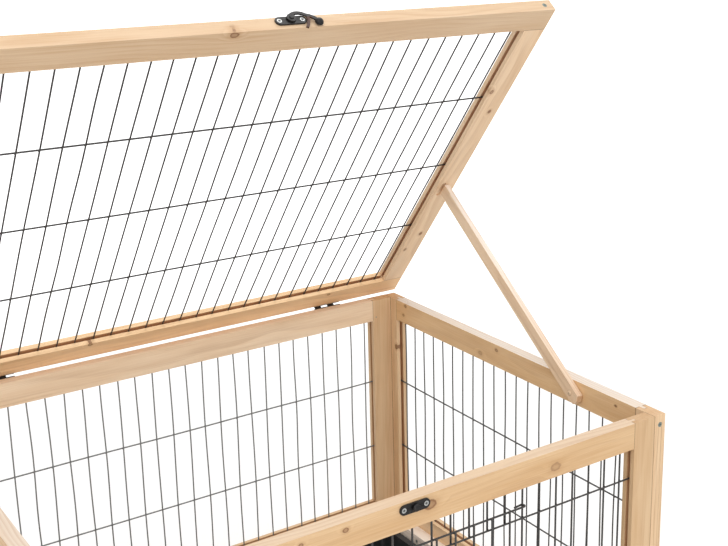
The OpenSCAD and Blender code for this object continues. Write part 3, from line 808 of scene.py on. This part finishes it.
@dataclass
class MeshPanel:
    """A welded wire panel: upright wires on its inside, cross wires on its outside."""

    node: str
    body: Body
    place: Matrix
    runs: list[Run]
    seed: int
    upright_d: float = 2.0
    cross_d: float = 2.2
    weld: float = 0.2
    bead: float = 0.68
    sway: float = 0.5
    step: float = 18.0

    def depth(self, upright: bool) -> float:
        """Where a wire's middle lies across the panel, inside positive."""
        stack = self.upright_d + self.cross_d - self.weld
        return (stack - self.upright_d) / 2 if upright else -(stack - self.cross_d) / 2

    def middle(self, run: Run, t: float, sway: Triple) -> Vector:
        """A point on a wire's middle line.

        Args:
            run: The wire.
            t: The distance along it in millimetres.
            sway: The size, the wave length and the phase of its sway.

        Returns:
            The point in the run's frame, in metres.
        """
        size, wave, phase = sway
        off = size * math.sin(2 * math.pi * (t / wave + phase))
        if run.upright:
            local = Vector((run.at + off, self.depth(True), t))
        else:
            local = Vector((t, self.depth(False), run.at + off * 0.4))
        return self.place @ (local * MM)

    def build(self, material: bpy.types.Material) -> bpy.types.Object:
        """Builds the panel.

        Args:
            material: The wire's material.

        Returns:
            The piece.
        """
        rng = random.Random(self.seed)
        wires = Wires()
        for run in self.runs:
            radius = (self.upright_d if run.upright else self.cross_d) / 2 * MM
            sway = (self.sway * rng.uniform(0.4, 1.0), rng.uniform(180, 420), rng.random())
            count = max(2, round((run.end - run.start) / self.step))
            steps = [run.start + (run.end - run.start) * i / count for i in range(count + 1)]
            wires.tube([self.middle(run, t, sway) for t in steps], radius)
        squash = Vector((1.0, 1.0, 1.0))
        for up in (r for r in self.runs if r.upright):
            for row in (r for r in self.runs if not r.upright):
                if up.start <= row.at <= up.end and row.start <= up.at <= row.end:
                    local = Vector((up.at, (self.depth(True) + self.depth(False)) / 2, row.at))
                    wires.bead(self.place @ (local * MM), self.upright_d * self.bead * MM, squash)
        piece = wires.piece(f"{self.node}_wires", material, self.body, self.node)
        LOG.info("%s: %d wires", piece.name, len(self.runs))
        return piece


@dataclass
class WireWalls:
    """The run's five mesh panels."""

    front_shift: float = 4.4
    lid_shift: float = 2.3
    back_shift: float = 5.6
    side_shift: float = 0.5
    front_row_drop: float = 74.5
    back_row_drop: float = 137.5
    side_row_drop: float = 139.1
    lid_row_inset: float = 162.7
    lid_row_gap: float = 136.9
    door_spaces: int = 12
    front_wire: float = 2.4
    groove_reach: float = 7.6
    clear: float = 4.4

    @property
    def rise(self) -> tuple[float, float]:
        """The lower and the upper end of the walls' upright wires."""
        return RUN.base_h - self.groove_reach, RUN.height - RUN.timber_w + self.groove_reach

    def columns(self, half: float, shift: float) -> list[float]:
        """The upright wires' places across an opening.

        Args:
            half: Half the opening's width.
            shift: The middle wire's offset.

        Returns:
            The places, clear of the opening's sides.
        """
        first = math.ceil((self.clear - half - shift) / RUN.pitch)
        last = math.floor((half - self.clear - shift) / RUN.pitch)
        return [shift + RUN.pitch * k for k in range(first, last + 1)]

    def wall(self, node: str, turn: float, out: Vector, width: float, shift: float,
             drop: float, seed: int) -> MeshPanel:
        """A wall panel without a doorway.

        Args:
            node: The node that it stands for.
            turn: The panel's turn about Z in degrees.
            out: The middle of the panel, in millimetres.
            width: The frame's width.
            shift: The middle wire's offset.
            drop: How far its first cross wire lies below the top of the run.
            seed: The seed of its sway.

        Returns:
            The panel.
        """
        half = width / 2 - RUN.timber_w
        low, high = self.rise
        runs = [Run(x, low, high, True) for x in self.columns(half, shift)]
        z = RUN.height - drop
        while z > RUN.base_h + 5:
            runs.append(Run(z, -half - self.groove_reach, half + self.groove_reach, False))
            z -= RUN.row_gap
        place = Matrix.Translation(out * MM) @ Matrix.Rotation(math.radians(turn), 4, "Z")
        return MeshPanel(node, Body.RUN, place, runs, seed, sway=0.9)

    def front(self) -> MeshPanel:
        """The front panel, cut away at the doorway."""
        half = RUN.half_l - RUN.timber_t - RUN.timber_w
        low, high = self.rise
        top = RUN.height - self.front_row_drop
        bottom = top - 2 * RUN.row_gap
        reach = self.door_spaces / 2 * RUN.pitch
        runs = []
        for x in self.columns(half, self.front_shift):
            if abs(x - self.front_shift) < reach - 1:
                runs += [Run(x, low, bottom + 1, True), Run(x, top - 1, high, True)]
            else:
                runs.append(Run(x, low, high, True))
        left, right = -half - self.groove_reach, half + self.groove_reach
        runs += [Run(z, left, right, False) for z in (bottom, top)]
        middle = bottom + RUN.row_gap
        runs.append(Run(middle, left, self.front_shift - reach + 1, False))
        runs.append(Run(middle, self.front_shift + reach - 1, right, False))
        place = Matrix.Translation(Vector((0, RUN.timber_t / 2 - RUN.half_d, 0)) * MM)
        return MeshPanel("front_mesh", Body.RUN, place, runs, 11, upright_d=self.front_wire,
                         sway=0.0)

    def lid(self) -> MeshPanel:
        """The lid's panel, its upright wires from front to back."""
        half = RUN.half_l + RUN.lid_over - RUN.timber_w
        half_y = RUN.lid_depth / 2 - RUN.timber_w
        mid_y = RUN.half_d - RUN.lid_depth / 2
        mid_z = RUN.height + RUN.lid_gap + RUN.timber_t / 2
        low, high = -half_y - self.groove_reach, half_y + self.groove_reach
        runs = [Run(x, low, high, True) for x in self.columns(half, self.lid_shift)]
        inset = self.lid_row_inset
        while inset < RUN.lid_depth - RUN.timber_w:
            runs.append(Run(RUN.lid_depth / 2 - inset, -half - self.groove_reach,
                            half + self.groove_reach, False))
            inset += self.lid_row_gap
        flat = Matrix(((1, 0, 0, 0), (0, 0, 1, mid_y * MM), (0, -1, 0, mid_z * MM), (0, 0, 0, 1)))
        return MeshPanel("lid_mesh", Body.LID, RUN.lid_matrix @ flat, runs, 12)

    def build(self, coated: bpy.types.Material, worn: bpy.types.Material,
              pale: bpy.types.Material) -> None:
        """Builds all five panels.

        Args:
            coated: The material of the front's and the lid's wires.
            worn: The greyer material of the side walls' wires: a lighter copy of the coated wire,
                its lighter grey painted light.
            pale: The palest material, of the back wall's wires: a lighter copy again, its paleness
                painted light.
        """
        mid_y, mid_x = RUN.half_d - RUN.timber_t / 2, RUN.half_l - RUN.timber_t / 2
        front_w = RUN.length - 2 * RUN.timber_t
        panels = [
            self.front(),
            self.wall("back_mesh", 180, Vector((0, mid_y, 0)), front_w, -self.back_shift,
                      self.back_row_drop, 13),
            self.wall("right_mesh", 90, Vector((mid_x, 0, 0)), RUN.depth, self.side_shift,
                      self.side_row_drop, 14),
            self.wall("left_mesh", -90, Vector((-mid_x, 0, 0)), RUN.depth, -self.side_shift,
                      self.side_row_drop, 15),
            self.lid(),
        ]
        finish = {"back_mesh": pale, "right_mesh": worn, "left_mesh": worn}
        for panel in panels:
            panel.build(finish.get(panel.node, coated))


@dataclass
class Timbers:
    """The frames' timbers, each with its own grain."""

    arris: float = 0.5
    tenon: float = 7.6
    # Warmth and lightness per timber. The lightness is partly the wood's own tone and partly
    # painted light, brighter or darker by how light falls on each timber.
    tones_and_painted_light: dict[str, tuple[float, float]] = field(default_factory=lambda: {
        "front_top_rail": (0.85, 0.93), "front_right_stile": (0.75, 0.87),
        "right_top_rail": (0.95, 1.01), "right_back_stile": (0.7, 1.0),
        "back_top_rail": (0.15, 1.08), "back_right_stile": (0.7, 0.95),
        "lid_back_rail": (0.75, 1.12), "lid_right_stile": (0.3, 1.07),
        "lid_front_rail": (0.4, 0.87), "lid_left_stile": (0.4, 1.04),
        "prop_strut": (0.15, 1.04), "left_batten": (0.0, 1.08), "right_batten": (0.0, 1.08)})
    # Painted light per piece, first over the whole piece, then over its narrow sides: the battens'
    # lit tops and the strut's lit narrow sides.
    painted_light: dict[str, tuple[float, float]] = field(default_factory=lambda: {
        "prop_strut": (0.0, 0.9), "left_batten": (1.0, 0.0), "right_batten": (1.0, 0.0)})
    # Painted light: how far each timber's top face turns pale for the light from above.
    painted_top_light: dict[str, float] = field(default_factory=lambda: {
        "front_top_rail": 0.40, "right_top_rail": 0.97, "left_top_rail": 0.7,
        "back_top_rail": 0.4})

    def lid_point(self, x: float, s: float) -> Triple:
        """The point of the open lid's underside at x along the run and s from its back edge."""
        shut = Vector((x, RUN.half_d - s, RUN.height + RUN.lid_gap))
        return tuple(RUN.lid_matrix @ (shut * MM) / MM)

    def chosen_knots(self) -> dict[str, tuple[Knot, ...]]:
        """The knots that the photograph shows, by timber, and a few where it doesn't reach."""
        top, front, inner = RUN.height, -RUN.half_d, RUN.half_l - RUN.timber_t
        lid = self.lid_point
        return {
            "lid_front_rail": (Knot(lid(-66, 596), 4.5),),
            "lid_back_rail": (Knot(lid(-129, 31), 3.0), Knot(lid(243, 28), 2.4)),
            "lid_right_stile": (Knot(lid(344, 456), 3.2), Knot(lid(360, 416), 3.0, 1.0, 1.0),
                                Knot(lid(361, 148), 3.0, 1.0, 1.0), Knot(lid(348, 112), 2.6)),
            "front_top_rail": (Knot((195, front, top - 20), 6.0, 0.55),
                               Knot((-82, front, top - 9), 3.0),
                               Knot((21.5, front, top - 13), 6.5, 1.0),
                               Knot((-133, front, top - 9), 2.6)),
            "right_top_rail": (Knot((inner, 11, top - 8), 2.6),
                               Knot((inner, 48, top - 23), 3.6, 0.5),
                               Knot((inner, 239, top - 4), 2.6),
                               Knot((inner, 245, top - 20), 2.4),
                               Knot((inner, -230, top - 9.5), 1.9, 1.0, 1.0)),
            "right_back_stile": (Knot((inner, 267, top - 79), 3.6, 1.0, 0.6),),
            "left_top_rail": (Knot((-inner, -120, top - 12), 3.4),
                              Knot((-inner, 90, top - 24), 2.6)),
            "back_bottom_rail": (Knot((150, 281, 40), 5.0), Knot((-210, 298, 30), 4.0)),
            "front_bottom_rail": (Knot((90, front, 28), 5.5), Knot((-240, front, 48), 4.0)),
            "left_bottom_rail": (Knot((-RUN.half_l, 60, 34), 5.0),),
            "right_bottom_rail": (Knot((RUN.half_l, -90, 44), 5.0),),
        }

    def strut_axes(self) -> tuple[Vector, Vector]:
        """The prop strut's length and width, from its joint's axis and its own corners."""
        joint = joint_of("strut_pivot")
        axis = Vector(joint["axis"]).normalized()
        pivot = Vector(joint["pos_m"])
        corners = [v.co for v in frame["nodes"]["prop_strut"].data.vertices]
        tip = sorted(corners, key=lambda co: -(co - pivot).length)[:4]
        reach = sum(tip, Vector()) / len(tip) - pivot
        along = (reach - axis * reach.dot(axis)).normalized()
        return along, axis.cross(along)

    def build(self) -> None:
        """Dresses every timber."""
        x_axis, y_axis, z_axis = Vector((1, 0, 0)), Vector((0, 1, 0)), Vector((0, 0, 1))
        lid_y = RUN.lid_matrix.to_3x3() @ y_axis
        axes = {"lid_front_rail": (x_axis, lid_y), "lid_back_rail": (x_axis, -lid_y),
                "prop_strut": self.strut_axes()}
        for side in ("front", "back"):
            axes[f"{side}_top_rail"] = (x_axis, -z_axis)
            axes[f"{side}_bottom_rail"] = (x_axis, z_axis)
            axes[f"{side}_left_stile"] = (z_axis, x_axis)
            axes[f"{side}_right_stile"] = (z_axis, -x_axis)
        for side, inwards in (("left", 1), ("right", -1)):
            axes[f"{side}_top_rail"] = (y_axis, -z_axis)
            axes[f"{side}_bottom_rail"] = (y_axis, z_axis)
            axes[f"{side}_front_stile"] = (z_axis, y_axis)
            axes[f"{side}_back_stile"] = (z_axis, -y_axis)
            axes[f"{side}_batten"] = (y_axis, x_axis)
            axes[f"lid_{side}_stile"] = (lid_y, x_axis * inwards)
        knots = self.chosen_knots()
        for seed, (node, (along, across)) in enumerate(sorted(axes.items())):
            loose = node == "prop_strut" or node.endswith("batten")
            railed = node.endswith("rail") and not node.startswith("lid")
            tenoned = railed or node.startswith(("lid_left", "lid_right"))
            warmth, light = self.tones_and_painted_light.get(node, (0.6, 1.0))
            painted_light, painted_side_light = self.painted_light.get(node, (0.0, 0.0))
            finish = Softwood(
                node, along, across, seed + 3, warmth, light, grooved=not loose,
                shoulder=self.tenon if tenoned else 0.0,
                butt=node.startswith(("front", "back")) and node.endswith("stile"),
                knots=knots.get(node, ()), painted_light=painted_light, painted_side_light=painted_side_light,
                light_at_foot=0.4, painted_top_light=self.painted_top_light.get(node, 0.0))
            dress(node, finish.material(), self.arris)
            LOG.info("%s dressed", node)


@dataclass
class Fittings:
    """Hinges, latch, keeper, screws and tray, all carried over from the CAD model."""

    arris: float = 0.25
    hook_arris: float = 0.4
    tray_arris: float = 0.5

    def build(self) -> None:
        """Dresses every fitting."""
        black = BlackSteel().material("black_steel")
        hook = RustedHook().material("hook_steel")
        zinc = ZincPlate()
        dull = ZincPlate((0.27, 0.31, 0.28), (0.16, 0.18, 0.16), (0.012, 0.012, 0.012))
        yellowed = ZincPlate((0.72, 0.54, 0.36), (0.62, 0.44, 0.28), (0.50, 0.35, 0.21), 0.0)
        tray = MouldedPlastic().material("tray_plastic")
        pressed = ("hinge_left", "hinge_right", "latch_plate", "latch_rivet", "keeper_plate",
                   "keeper_stud")
        for node in sorted(frame["nodes"]):
            if node.startswith(pressed):
                dress(node, black, self.arris)
            elif node == "latch_hook":
                dress(node, hook, self.hook_arris)
            elif node == "tray":
                dress(node, tray, self.tray_arris)
            elif node == "prop_screw":
                dress(node, yellowed.material(node))
            elif node.endswith(("frame_screws", "corner_screws", "nails")):
                dress(node, dull.material(node))
            elif node.endswith("screws"):
                dress(node, zinc.material(node))


@dataclass
class WireDoor:
    """The door in the front mesh: cross wires, upright wires and two hairpins."""

    wire_d: float = 2.4
    first: float = 22.0
    over: float = 14.0
    catch: float = 10.0
    hairpin: float = 10.0
    squeeze: float = 1.2
    play: float = 0.4
    weld: float = 0.2
    bead: float = 0.66
    bead_flat: float = 0.8

    def build(self, walls: WireWalls, material: bpy.types.Material) -> None:
        """Builds the door.

        Args:
            walls: The walls, for the doorway's place.
            material: The wire's material.
        """
        hinge = Vector(joint_of("door_hinge")["pos_m"])
        low = RUN.height - walls.front_row_drop - 2 * RUN.row_gap - self.over
        high = RUN.height - walls.front_row_drop + self.over
        loop = walls.front_wire / 2 + self.play + self.wire_d / 2
        width = walls.door_spaces * RUN.pitch
        origin = Vector((hinge.x, hinge.y, 0))
        wires = Wires()
        radius = self.wire_d / 2 * MM
        rows = [low + (high - low) * i / 3 for i in range(4)]
        for i, z in enumerate(rows):
            points = [(-width - self.catch + k * (width + self.catch - self.first) / 14, -loop, z)
                      for k in range(14)]
            if i in (0, 3):
                points.append((-self.first, -loop, z))
                bend = [math.pi * k / 12 for k in range(13)]
                points += [(loop * math.sin(a), -loop * math.cos(a), z) for a in bend]
                points.append((-self.hairpin, loop - self.squeeze, z))
            else:
                points = [(x, y - self.weld, z) for x, y, z in points]
                points.append((self.wire_d - self.first, -loop - self.weld, z))
            wires.tube([origin + Vector(p) * MM for p in points], radius)
        up_y = -loop - self.wire_d
        x = -self.first
        squash = Vector((1.0, self.bead_flat, 1.0))
        while x > self.wire_d / 2 - width:
            ends = (low - self.wire_d / 2, high + self.wire_d / 2)
            points = [(x, up_y, ends[0] + (ends[1] - ends[0]) * k / 12) for k in range(13)]
            wires.tube([origin + Vector(p) * MM for p in points], radius)
            for z in rows:
                centre = origin + Vector((x, (up_y - loop) / 2, z)) * MM
                wires.bead(centre, self.wire_d * self.bead * MM, squash)
            x -= RUN.pitch
        piece = wires.piece("door_wires", material, Body.DOOR, "wire_door", "door_top_wire",
                            "door_bottom_wire")
        LOG.info("%s built", piece.name)


@dataclass
class Studio:
    """A pale floor, a soft light and a white background."""

    floor_size: float = 60.0
    floor_drop: float = 0.0003
    glow_near: float = 0.16
    glow_start: float = 0.9
    glow_full: float = 2.6
    white: Colour = (0.93, 0.93, 0.93)
    grey: Colour = (0.9, 0.9, 0.9)
    soft: tuple[Colour, float] = ((1.0, 0.99, 0.97), 0.58)
    backdrop: tuple[Colour, float] = ((1.0, 1.0, 1.0), 1.0)
    lamps: tuple[tuple[str, Triple, float, float], ...] = (
        ("key", (-1.6, -1.8, 2.6), 2.2, 31.0), ("fill", (2.4, -1.2, 2.0), 2.4, 10.0),
        ("overhead", (0.5, 0.5, 3.0), 2.0, 30.0), ("low", (-0.4, -2.6, 0.55), 1.6, 11.0))

    def floor(self) -> None:
        """Lays the floor."""
        mesh = bmesh.new()
        bmesh.ops.create_grid(mesh, x_segments=1, y_segments=1, size=self.floor_size / 2)
        data = bpy.data.meshes.new("floor")
        mesh.to_mesh(data)
        mesh.free()
        piece = linked("floor", data)
        piece.location.z = -self.floor_drop
        shader = Shader("floor_paper")
        fleck = shader.noise(shader.place(), 40.0, 2.0)
        tone = shader.mix(fleck * 0.2 + 0.5, self.white, self.grey)
        seen = shader.node("ShaderNodeLightPath", {}, out="Is Camera Ray")
        away = shader.node("ShaderNodeVectorMath", {"operation": "LENGTH"}, shader.place(),
                           out="Value")
        glow = seen * (away.step(self.glow_start, self.glow_full) * (1 - self.glow_near)
                       + self.glow_near)
        data.materials.append(shader.surface(
            Base_Color=tone, Roughness=0.9, Emission_Strength=1.0,
            Emission_Color=shader.joined(glow, glow, glow)))

    def world(self) -> None:
        """Lights the scene softly from all round, and shows white behind it."""
        world = bpy.data.worlds.new("studio")
        bpy.context.scene.world = world
        world.use_nodes = True
        tree = world.node_tree
        tree.nodes.clear()
        output = tree.nodes.new("ShaderNodeOutputWorld")
        mixer = tree.nodes.new("ShaderNodeMixShader")
        path = tree.nodes.new("ShaderNodeLightPath")
        seen = path.outputs["Is Camera Ray"]
        for kind in ("Is Glossy Ray", "Is Transmission Ray"):
            either = tree.nodes.new("ShaderNodeMath")
            either.operation = "MAXIMUM"
            tree.links.new(seen, either.inputs[0])
            tree.links.new(path.outputs[kind], either.inputs[1])
            seen = either.outputs[0]
        tree.links.new(seen, mixer.inputs[0])
        for i, (colour, strength) in enumerate((self.soft, self.backdrop), start=1):
            light = tree.nodes.new("ShaderNodeBackground")
            light.inputs[0].default_value = (*colour, 1.0)
            light.inputs[1].default_value = strength
            tree.links.new(light.outputs[0], mixer.inputs[i])
        tree.links.new(mixer.outputs[0], output.inputs[0])

    def lamp(self, name: str, place: Vector, size: float, watts: float) -> None:
        """Hangs one square soft lamp that looks at the run.

        Args:
            name: The lamp's name.
            place: Where it hangs, in metres.
            size: Its side in metres.
            watts: Its power.
        """
        data = bpy.data.lights.new(name, "AREA")
        data.size = size
        data.energy = watts
        piece = linked(name, data)
        piece.visible_camera = False
        piece.location = place
        aim = Vector((0, 0, RUN.height * MM)) - place
        piece.rotation_euler = aim.to_track_quat("-Z", "Y").to_euler()

    def build(self) -> None:
        """Sets up the whole studio."""
        self.floor()
        self.world()
        for name, place, size, watts in self.lamps:
            self.lamp(name, Vector(place), size, watts)
        bpy.context.scene.view_settings.view_transform = "Standard"


@dataclass
class PhotoCamera:
    """The photograph's camera, as fitted to the run's edges."""

    image_w: int = 728
    focal_px: float = 1213.04
    centre_px: tuple[float, float] = (446.97, 247.60)
    middle_px: tuple[float, float] = (364.0, 273.0)
    yaw: float = 35.725
    pitch: float = 15.769
    roll: float = 0.425
    place: Triple = (-635.93, -1245.29, 1012.83)
    sensor: float = 36.0
    clip: tuple[float, float] = (0.05, 60.0)

    def build(self) -> None:
        """Creates the camera and makes it the scene's."""
        data = bpy.data.cameras.new("photo_camera")
        data.sensor_width = self.sensor
        data.lens = self.focal_px / self.image_w * self.sensor
        data.shift_x = (self.middle_px[0] - self.centre_px[0]) / self.image_w
        data.shift_y = (self.centre_px[1] - self.middle_px[1]) / self.image_w
        data.clip_start, data.clip_end = self.clip
        yaw, pitch, roll = (math.radians(a) for a in (self.yaw, self.pitch, self.roll))
        ahead = Vector((math.sin(yaw) * math.cos(pitch), math.cos(yaw) * math.cos(pitch),
                        -math.sin(pitch)))
        level = Vector((math.cos(yaw), -math.sin(yaw), 0))
        down = ahead.cross(level)
        right = level * math.cos(roll) + down * math.sin(roll)
        below = -level * math.sin(roll) + down * math.cos(roll)
        turn = Matrix((right, -below, -ahead)).transposed().to_4x4()
        piece = linked("photo_camera", data)
        piece.matrix_world = Matrix.Translation(Vector(self.place) * MM) @ turn
        bpy.context.scene.camera = piece


def main() -> None:
    """Builds the camera, the pieces and the studio in order."""
    logging.basicConfig(level=logging.INFO, format="%(name)s: %(message)s")
    PhotoCamera().build()
    wire = CoatedWire().material("coated_wire")
    # Painted light: lighter copies of the same coated wire for the side and back walls, for the
    # light on their thin wires.
    greyer_lit_wire = CoatedWire((0.085, 0.085, 0.088), (0.24, 0.23, 0.22)).material("greyer_lit_wire")
    palest_lit_wire = CoatedWire((0.21, 0.21, 0.21), (0.40, 0.39, 0.38)).material("palest_lit_wire")
    walls = WireWalls()
    walls.build(wire, greyer_lit_wire, palest_lit_wire)
    WireDoor().build(walls, wire)
    Timbers().build()
    Fittings().build()
    Studio().build()


if __name__ == "__main__":
    main()
